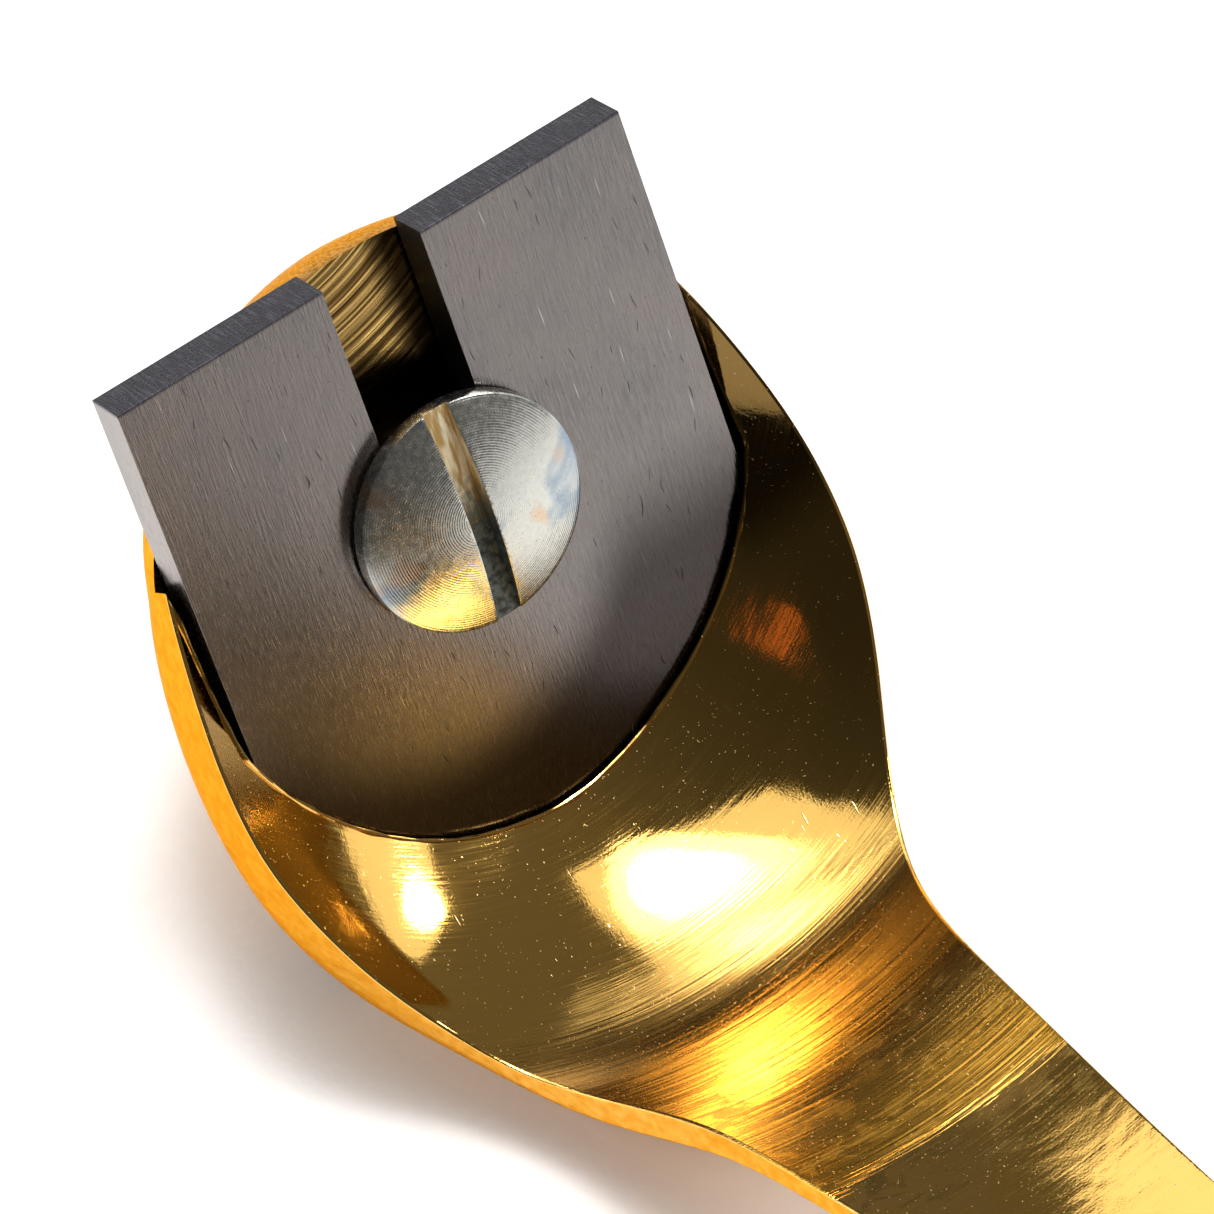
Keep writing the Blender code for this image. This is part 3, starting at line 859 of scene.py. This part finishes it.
def mirror_brass():
    """Polished inside, with the neck's first part left finely brushed across the tool; painted
    reflections on the neck, a dark band and an amber patch, and painted shade inside the rim towards +y.
    """
    made, tree, shader = new_look("mirror_brass", Metallic=1.0)
    where = local(tree, TOOL)
    arcs = polishing_arcs(tree, where)
    lines = noise_at(tree, arcs, (3.0, 0.07, 1.0), 2.0)
    hair = noise_at(tree, arcs, (7.0, 0.16, 1.0), 2.0)
    grain = noise_at(tree, where, (6.0, 6.0, 6.0), 2.0)
    cloud = noise_at(tree, where, (0.16, 0.11, 0.16), 3.0, distortion=0.4)
    dark_band_noise = noise_at(tree, where, (0.9, 0.5, 0.9), 5.0, distortion=0.6)
    dust = between(tree, noise_at(tree, where, (5.0, 5.0, 5.0), 1.0), 0.72, 0.76)
    scuffs = marks(tree, where, 2.2, 0.08, 0.30, 0.9, 1.2)
    parts = axes(tree, where)
    along, across = parts["X"], parts["Y"]
    ragged = plus(tree, along, times(tree, minus(tree, hair, 0.5), 3.0))
    brushed = calc(
        tree, "MULTIPLY",
        between(tree, ragged, BRUSHED[0] - 3.0, BRUSHED[0] + 3.0),
        between(tree, ragged, BRUSHED[1] + 0.15, BRUSHED[1] - 0.15),
    )
    # painted reflection: a dark band over the neck's slope from x 16 to 36.5, broken by noise; it also
    # roughens the polish a little
    painted_dark_band = times(tree, between(tree, along, 16.0, 24.0), between(tree, along, 36.5, 34.5))
    painted_dark_band = times(tree, painted_dark_band, between(tree, dark_band_noise, 0.50, 0.62))
    colour = mix(tree, cloud, (0.97, 0.61, 0.165), (0.92, 0.53, 0.12))
    colour = mix(tree, times(tree, painted_dark_band, 0.6), colour, (0.34, 0.21, 0.06))
    grooves = times(tree, between(tree, lines, 0.55, 0.75), times(tree, brushed, 0.5))
    colour = mix(tree, grooves, colour, (0.45, 0.25, 0.06))
    shaded = times(tree, between(tree, across, 14.5, 17.0), between(tree, along, -3.0, -8.0))
    colour = mix(tree, times(tree, shaded, 0.85), colour, (0.10, 0.06, 0.025))
    # painted reflection: an amber patch on the brushed neck from x 22 onwards
    painted_amber_reflection = times(tree, brushed, between(tree, along, 22.0, 29.0))
    colour = mix(tree, times(tree, painted_amber_reflection, 0.65), colour, (1.0, 0.52, 0.05))
    colour = mix(tree, times(tree, dust, 0.35), colour, (1.0, 0.80, 0.45))
    colour = mix(tree, times(tree, scuffs, 0.5), colour, (1.0, 0.86, 0.62))
    rough = between(tree, hair, 0.3, 0.75, 0.035, 0.10)
    rough = plus(tree, rough, between(tree, cloud, 0.35, 0.7, 0.0, 0.03))
    rough = plus(tree, rough, times(tree, dust, 0.25))
    rough = plus(tree, rough, times(tree, brushed, 0.10))
    rough = plus(tree, rough, times(tree, painted_dark_band, 0.08))
    strength = plus(tree, times(tree, brushed, 0.88), 0.12)
    relief = bump(tree, times(tree, lines, strength), 0.030)
    relief = bump(tree, times(tree, hair, strength), 0.010, relief)
    relief = bump(tree, grain, 0.0025, relief)
    relief = bump(tree, cloud, 0.05, relief)
    relief = bump(tree, scuffs, 0.004, relief)
    finish(tree, shader, colour, rough, relief)
    return made


def satin_brass():
    """Outside of the casting, left as it came from a fine abrasive."""
    made, tree, shader = new_look("satin_brass", Metallic=1.0, Specular_Tint=(1.0, 0.55, 0.15, 1.0))
    where = local(tree, TOOL)
    mottle = noise_at(tree, where, (1.3, 1.3, 1.3), 4.0)
    strokes = noise_at(tree, where, (0.9, 5.0, 5.0), 2.0, turn=0.6)
    pits = between(tree, noise_at(tree, where, (2.6, 2.6, 2.6), 2.0), 0.70, 0.78)
    colour = mix(tree, between(tree, mottle, 0.3, 0.7), (0.96, 0.53, 0.12), (0.84, 0.40, 0.06))
    colour = mix(tree, times(tree, pits, 0.5), colour, (0.55, 0.28, 0.08))
    rough = between(tree, mottle, 0.2, 0.8, 0.30, 0.42)
    along = axes(tree, where)["X"]
    worn = mix(tree, between(tree, strokes, 0.4, 0.65), (0.62, 0.38, 0.19), (0.30, 0.16, 0.07))
    colour = mix(tree, between(tree, along, -25.0, -28.0, 0.0, 0.85), colour, worn)
    relief = bump(tree, mottle, 0.05)
    relief = bump(tree, strokes, 0.012, relief)
    relief = bump(tree, pits, -0.02, relief)
    finish(tree, shader, colour, rough, relief)
    return made


def machined_brass():
    """Bed and pocket walls, with the arcs a fly cutter leaves, and painted shade on the bed towards the
    screw and towards +y.
    """
    made, tree, shader = new_look("machined_brass", Metallic=1.0)
    where = local(tree, BED)
    parts = axes(tree, where)
    down = plus(tree, parts["X"], FLY_CUTTER_RADIUS)
    across = minus(tree, parts["Y"], FLY_CUTTER_SIDE)
    ring = node(tree, "CombineXYZ", {
        "X": distance(tree, down, across),
        "Y": times(tree, across, 0.02),
    }).outputs["Vector"]
    passes = noise_at(tree, ring, (2.6, 1.0, 1.0), 4.0)
    fine = noise_at(tree, ring, (7.0, 1.0, 1.0), 2.0)
    ragged = times(tree, minus(tree, fine, 0.5), 2.0)
    # painted shade: the bed turns nearly black from x 7 to 9 onwards, towards the screw, and partly so
    # from y 0.6 to 1.8, both with ragged edges
    low = between(tree, plus(tree, parts["X"], ragged), 7.0, 9.0)
    side = between(tree, plus(tree, parts["Y"], ragged), 0.6, 1.8, 0.0, 0.7)
    colour = mix(tree, between(tree, passes, 0.40, 0.58), (0.78, 0.50, 0.16), (0.13, 0.07, 0.02))
    # both painted shades laid over the fly-cut colour
    colour = mix(tree, calc(tree, "MAXIMUM", low, side), colour, (0.035, 0.020, 0.008))
    rough = between(tree, fine, 0.3, 0.7, 0.16, 0.3)
    relief = bump(tree, passes, 0.06)
    relief = bump(tree, fine, 0.012, relief)
    finish(tree, shader, colour, rough, relief)
    return made


def ground_steel():
    made, tree, shader = new_look("ground_steel", Metallic=1.0)
    where = local(tree, BED)
    streaks = noise_at(tree, where, (0.55, 6.0, 6.0), 3.0)
    hair = noise_at(tree, where, (1.2, 12.0, 12.0), 2.0)
    ground = noise_at(tree, where, (1.0, 7.0, 0.6), 2.0)
    cloud = noise_at(tree, where, (0.10, 0.16, 0.16), 3.0)
    specks = between(tree, noise_at(tree, where, (4.5, 4.5, 4.5), 1.0), 0.74, 0.79)
    dark = calc(
        tree, "MAXIMUM",
        marks(tree, where, 2.0, 0.075, 0.06, 0.5, 1.8, flat=True),
        marks(tree, where, 1.5, 0.070, 0.05, 2.2, 1.4, flat=True),
    )
    pale = marks(tree, where, 2.4, 0.07, 0.05, 1.25, 0.5, flat=True)
    parts = axes(tree, where)
    end = between(tree, parts["X"], 0.30, 0.05)
    # painted shade: a rounded dark area over the plate towards its nose, round an undarkened middle
    from_nose = minus(tree, parts["X"], PLATE_LENGTH - PLATE_NOSE_R - SHADE_BEFORE_NOSE)
    aside = plus(tree, parts["Y"], SHADE_ASIDE)
    painted_nose_shade = times(
        tree,
        between(tree, distance(tree, from_nose, aside), *SHADE_EDGE),
        between(tree, from_nose, 0.0, SHADE_RUN),
    )
    colour = mix(tree, between(tree, streaks, 0.2, 0.8), (0.235, 0.218, 0.213), (0.335, 0.313, 0.306))
    colour = mix(tree, between(tree, cloud, 0.35, 0.7), colour, (0.33, 0.295, 0.28))
    colour = mix(tree, times(tree, specks, 0.75), colour, (0.06, 0.05, 0.05))
    colour = mix(tree, times(tree, dark, 0.8), colour, (0.05, 0.04, 0.04))
    colour = mix(tree, times(tree, pale, 0.6), colour, (0.75, 0.72, 0.70))
    # painted shade towards the nose, nearly black
    colour = mix(tree, times(tree, painted_nose_shade, 0.88), colour, (0.06, 0.048, 0.045))
    cut_end = mix(tree, between(tree, ground, 0.45, 0.72), (0.050, 0.048, 0.061), (0.13, 0.126, 0.15))
    colour = mix(tree, times(tree, end, 0.95), colour, cut_end)
    rough = plus(tree, between(tree, hair, 0.3, 0.7, 0.20, 0.28), times(tree, dark, 0.3))
    relief = bump(tree, streaks, 0.010)
    relief = bump(tree, hair, 0.005, relief)
    finish(tree, shader, colour, rough, relief)
    return made


def slot_steel_painted_shade():
    """Walls of the plate's slot, in the plate's steel with painted shade: far darker than its faces."""
    made, tree, shader = new_look("slot_steel_painted_shade", Metallic=1.0)
    where = local(tree, BED)
    lines = noise_at(tree, where, (0.5, 0.5, 5.0), 3.0)
    mottle = noise_at(tree, where, (1.5, 1.5, 1.5), 3.0)
    colour = mix(tree, mottle, (0.035, 0.030, 0.028), (0.10, 0.085, 0.075))
    relief = bump(tree, lines, 0.01)
    finish(tree, shader, colour, between(tree, mottle, 0.3, 0.7, 0.35, 0.5), relief)
    return made


def round_coordinates(tree, where):
    """Distance from the z axis and the same as a one-dimensional pattern vector."""
    parts = axes(tree, where)
    radius = distance(tree, parts["X"], parts["Y"])
    return radius, node(tree, "CombineXYZ", {"X": radius, "Z": parts["Z"]}).outputs["Vector"]


def zinc_plate():
    """Head of the screw: fine turning marks under a blue and yellow zinc finish."""
    made, tree, shader = new_look("zinc_plate", Metallic=1.0)
    where = local(tree, SCREW)
    radius, ring = round_coordinates(tree, where)
    turning = calc(tree, "SINE", times(tree, radius, 2.0 * math.pi / TURNING_PITCH))
    chatter = noise_at(tree, ring, (3.0, 1.0, 1.0), 3.0)
    stain = noise_at(tree, where, (0.20, 0.20, 0.20), 3.0, distortion=0.5)
    rust = noise_at(tree, where, (0.33, 0.33, 0.33), 2.0, distortion=0.3)
    mottle = noise_at(tree, where, (2.6, 2.6, 2.6), 4.0)
    grain = noise_at(tree, where, (9.0, 9.0, 9.0), 2.0)
    specks = between(tree, grain, 0.64, 0.74)
    pits = between(tree, grain, 0.36, 0.26)
    colour = mix(tree, between(tree, mottle, 0.2, 0.8), (0.60, 0.61, 0.56), (0.76, 0.75, 0.69))
    colour = mix(tree, between(tree, stain, 0.52, 0.66), colour, (0.30, 0.38, 0.46))
    colour = mix(tree, between(tree, rust, 0.60, 0.72, 0.0, 0.6), colour, (0.72, 0.47, 0.26))
    colour = mix(tree, times(tree, pits, 0.6), colour, (0.16, 0.17, 0.18))
    colour = mix(tree, times(tree, specks, 0.6), colour, (0.95, 0.95, 0.92))
    rough = plus(tree, between(tree, mottle, 0.3, 0.7, 0.19, 0.27), times(tree, pits, 0.2))
    relief = bump(tree, turning, 0.0022)
    relief = bump(tree, chatter, 0.008, relief)
    relief = bump(tree, mottle, 0.004, relief)
    relief = bump(tree, grain, 0.004, relief)
    finish(tree, shader, colour, rough, relief)
    return made


def slot_pale_to_dark():
    """Walls and floor of the driver slot, pale yellow at one end and nearly black at the other."""
    made, tree, shader = new_look("slot_pale_to_dark", Metallic=0.4)
    where = local(tree, SCREW)
    along = axes(tree, where)["X"]
    mottle = noise_at(tree, where, (2.2, 2.2, 2.2), 4.0)
    lengthwise_noise = noise_at(tree, where, (0.5, 3.0, 3.0), 3.0)
    shift = times(tree, minus(tree, mottle, 0.5), 6.0)
    reach = between(tree, plus(tree, along, shift), -3.2, 1.4)
    pale = mix(tree, between(tree, lengthwise_noise, 0.35, 0.6), (0.86, 0.80, 0.60), (0.50, 0.33, 0.12))
    dark = mix(tree, between(tree, mottle, 0.35, 0.65), (0.030, 0.040, 0.042), (0.14, 0.17, 0.16))
    colour = mix(tree, reach, pale, dark)
    rough = between(tree, mottle, 0.3, 0.7, 0.45, 0.65)
    relief = bump(tree, lengthwise_noise, 0.03)
    relief = bump(tree, mottle, 0.05, relief)
    finish(tree, shader, colour, rough, relief)
    return made


def oiled_wood():
    made, tree, shader = new_look("oiled_hardwood", Coat_Weight=0.35, Coat_Roughness=0.22)
    where = local(tree, HANDLE)
    pith = node(tree, "VectorMath", operation="ADD")
    tree.links.new(where, pith.inputs[0])
    pith.inputs[1].default_value = (19.0, 7.0, 0.0)
    slow = stretched(tree, pith.outputs[0], (1.0, 1.0, 0.05))
    rings = node(tree, "TexWave", {
        "Vector": slow, "Scale": 0.16, "Distortion": 3.5, "Detail": 3.0, "Detail Scale": 0.6,
    }, wave_type="RINGS", rings_direction="Z").outputs["Fac"]
    fibre = noise_at(tree, where, (5.0, 5.0, 0.10), 3.0)
    pores = between(tree, noise_at(tree, where, (7.0, 7.0, 0.35), 1.0), 0.66, 0.73)
    cloud = noise_at(tree, where, (0.09, 0.09, 0.02), 2.0)
    colour = mix(tree, rings, (0.23, 0.075, 0.030), (0.36, 0.15, 0.058))
    colour = mix(tree, between(tree, cloud, 0.3, 0.7, 0.0, 0.5), colour, (0.17, 0.055, 0.025))
    colour = mix(tree, between(tree, fibre, 0.35, 0.7, 0.0, 0.55), colour, (0.12, 0.040, 0.018))
    colour = mix(tree, times(tree, pores, 0.8), colour, (0.035, 0.014, 0.008))
    height = axes(tree, where)["Z"]
    for ring in GRIP_RINGS:
        off = calc(tree, "ABSOLUTE", minus(tree, height, ring))
        colour = mix(tree, between(tree, off, 0.55, 0.2, 0.0, 0.9), colour, (0.02, 0.010, 0.007))
    rough = between(tree, fibre, 0.3, 0.7, 0.34, 0.5)
    relief = bump(tree, fibre, 0.02)
    relief = bump(tree, pores, -0.03, relief)
    finish(tree, shader, colour, rough, relief)
    return made


def turned_brass():
    """Ferrule, washer and nut: turned and lightly polished."""
    made, tree, shader = new_look("turned_brass", Metallic=1.0)
    where = local(tree, HANDLE)
    rings = noise_at(tree, where, (0.15, 0.15, 9.0), 3.0)
    cloud = noise_at(tree, where, (0.35, 0.35, 0.35), 3.0)
    scuffs = marks(tree, where, 1.4, 0.04, 0.15, 0.8, 0.8)
    colour = mix(tree, cloud, (0.95, 0.62, 0.20), (0.84, 0.50, 0.14))
    colour = mix(tree, times(tree, scuffs, 0.4), colour, (1.0, 0.84, 0.58))
    rough = between(tree, cloud, 0.3, 0.7, 0.14, 0.26)
    relief = bump(tree, rings, 0.006)
    relief = bump(tree, scuffs, 0.004, relief)
    finish(tree, shader, colour, rough, relief)
    return made


def satin_steel():
    made, tree, shader = new_look("satin_steel", Metallic=1.0)
    where = local(tree, HANDLE)
    rings = noise_at(tree, where, (0.3, 0.3, 6.0), 3.0)
    mottle = noise_at(tree, where, (1.2, 1.2, 1.2), 4.0)
    colour = mix(tree, mottle, (0.40, 0.39, 0.39), (0.52, 0.51, 0.50))
    rough = between(tree, mottle, 0.3, 0.7, 0.26, 0.4)
    finish(tree, shader, colour, rough, bump(tree, rings, 0.008))
    return made


def pale_floor():
    made, tree, shader = new_look("pale_floor", Metallic=0.0)
    where = node(tree, "TexCoord").outputs["Object"]
    grain = node(tree, "TexNoise", {"Vector": where, "Scale": 900.0, "Detail": 2.0}).outputs["Fac"]
    shader.inputs["Specular IOR Level"].default_value = 0.3
    shader.inputs["Roughness"].default_value = 0.5
    colour = mix(tree, grain, (0.90, 0.89, 0.885), (0.93, 0.925, 0.92))
    tree.links.new(colour, shader.inputs["Base Color"])
    tree.links.new(bump(tree, grain, 0.03), shader.inputs["Normal"])
    return made


# ---------------------------------------------------------------- stage, light and camera

def floor(look):
    half = FLOOR_HALF
    corners = [(-half, -half, 0.0), (half, -half, 0.0), (half, half, 0.0), (-half, half, 0.0)]
    mesh = bpy.data.meshes.new("floor")
    mesh.from_pydata(corners, [], [(0, 1, 2, 3)])
    mesh.materials.append(look)
    thing = bpy.data.objects.new("floor", mesh)
    bpy.context.scene.collection.objects.link(thing)


def area_light(name, place, size, radiance, colour, shape, glossy=True):
    """Area light of this brightness; its power follows from its area."""
    data = bpy.data.lights.new(name, "AREA")
    data.shape = shape
    data.size, data.size_y = size
    data.color = colour
    area = size[0] * size[1] * (math.pi / 4 if shape == "ELLIPSE" else 1.0)
    data.energy = radiance * area * math.pi
    lamp = bpy.data.objects.new(name, data)
    bpy.context.scene.collection.objects.link(lamp)
    lamp.matrix_world = place
    lamp.visible_glossy = glossy


def softbox(name, x, y, height, size, radiance, shape="RECTANGLE"):
    """Level light overhead; its place and size are shares of LIGHT_FAR."""
    place = Matrix.Translation(LIGHT_AIM + Vector((x, y, height)) * LIGHT_FAR)
    area_light(name, place, [side * LIGHT_FAR for side in size], radiance, WHITE, shape)


def panel(name, azimuth, elevation, angles, radiance,
          colour=WHITE, shape="RECTANGLE", glossy=True):
    """Light facing the bowl from this direction, so many degrees wide and high.

    Without glossy it lights the floor and the wood, and no metal mirrors it.
    """
    turn, rise = math.radians(azimuth), math.radians(elevation)
    out = Vector((math.cos(turn) * math.cos(rise), math.sin(turn) * math.cos(rise), math.sin(rise)))
    side = Vector((-math.sin(turn), math.cos(turn), 0.0))
    place = Matrix((side, out.cross(side), out)).transposed().to_4x4()
    place.translation = LIGHT_AIM + out * LIGHT_FAR
    size = [2.0 * LIGHT_FAR * math.tan(math.radians(angle / 2.0)) for angle in angles]
    area_light(name, place, size, radiance, colour, shape, glossy)


def lights():
    """Main softbox with its hot middle, a small lamp and strip at the side, and fill panels.

    The parts of the softbox hang at slightly different heights, so that each shows in reflections.
    """
    softbox("key_panel", -0.445, 0.11, 1.0, (0.88, 0.96), 1.05)
    softbox("key_glow", -0.34, 0.16, 0.98, (0.72, 0.70), 2.6, shape="ELLIPSE")
    softbox("key_lamp", -0.28, 0.16, 0.96, (0.46, 0.44), 5.0, shape="ELLIPSE")
    softbox("key_core", -0.28, 0.15, 0.94, (0.22, 0.22), 30.0, shape="ELLIPSE")
    panel("side_lamp", 84.5, 21.0, (7.0, 11.0), 20.0, shape="ELLIPSE")
    panel("side_halo", 77.0, 16.0, (34.0, 22.0), 1.0, shape="ELLIPSE")
    panel("side_strip", 62.0, 41.0, (16.0, 12.0), 14.0)
    panel("gold_card", 131.0, 36.0, (10.0, 8.0), 0.45)
    panel("plate_panel", 32.0, 4.0, (26.0, 8.0), 0.9)
    panel("heel_panel", 172.0, 34.6, (56.0, 22.0), 1.3)
    panel("warm_card", -69.0, 46.0, (2.4, 10.0), 0.4, colour=(1.0, 0.3, 0.08))
    panel("shadow_fill", -125.0, 20.0, (44.0, 16.0), 4.0)
    panel("shadow_lift", -110.0, 40.0, (40.0, 20.0), 2.6,
          colour=(0.88, 0.96, 1.0), glossy=False)


def world():
    """Dim room, darker behind the tool's near side."""
    made = bpy.data.worlds.new("studio")
    bpy.context.scene.world = made
    made.use_nodes = True
    tree = made.node_tree
    way = node(tree, "TexCoord").outputs["Generated"]
    level = between(tree, axes(tree, way)["Y"], *ROOM_SPAN, *ROOM_STRENGTH)
    tree.links.new(level, tree.nodes["Background"].inputs["Strength"])
    tree.nodes["Background"].inputs["Color"].default_value = ROOM_COLOUR


def camera():
    data = bpy.data.cameras.new("camera")
    data.sensor_width = SENSOR_WIDTH
    data.lens = LENS
    data.clip_start, data.clip_end = CLIP
    eye = bpy.data.objects.new("camera", data)
    bpy.context.scene.collection.objects.link(eye)
    turn = Euler([math.radians(angle) for angle in CAMERA_TURN]).to_matrix().to_4x4()
    eye.matrix_world = BED @ Matrix.Translation(Vector(CAMERA_AT) * MM) @ turn
    bpy.context.scene.camera = eye


# ---------------------------------------------------------------- assembly

def build():
    brass = [mirror_brass(), satin_brass(), machined_brass()]
    trim = [turned_brass()]
    made = (
        (body_casting(brass), "tool", "body_casting", "brass"),
        (cutter_plate([ground_steel(), slot_steel_painted_shade()]), "plate", "cutter_plate", "tool_steel"),
        (clamp_screw([zinc_plate(), slot_pale_to_dark()]), "screw", "clamp_screw", "zinc_steel"),
        (ferrule(trim), "tool", "ferrule", "brass_trim"),
        (handle_grip([oiled_wood()]), "tool", "handle_grip", "hardwood"),
        (end_washer(trim), "tool", "end_washer", "brass_trim"),
        (end_nut(trim), "tool", "end_nut", "brass_trim"),
    )
    for piece, body, node_name, slot in made:
        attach(piece, body)
        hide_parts(node_name)
    steel = satin_steel()
    for name in ("tang_rod", "tang_pin"):
        mesh = frame["nodes"][name].data
        mesh.materials.clear()
        mesh.materials.append(steel)
    floor(pale_floor())
    camera()
    world()
    lights()
    bpy.context.scene.view_settings.view_transform = "Standard"


build()
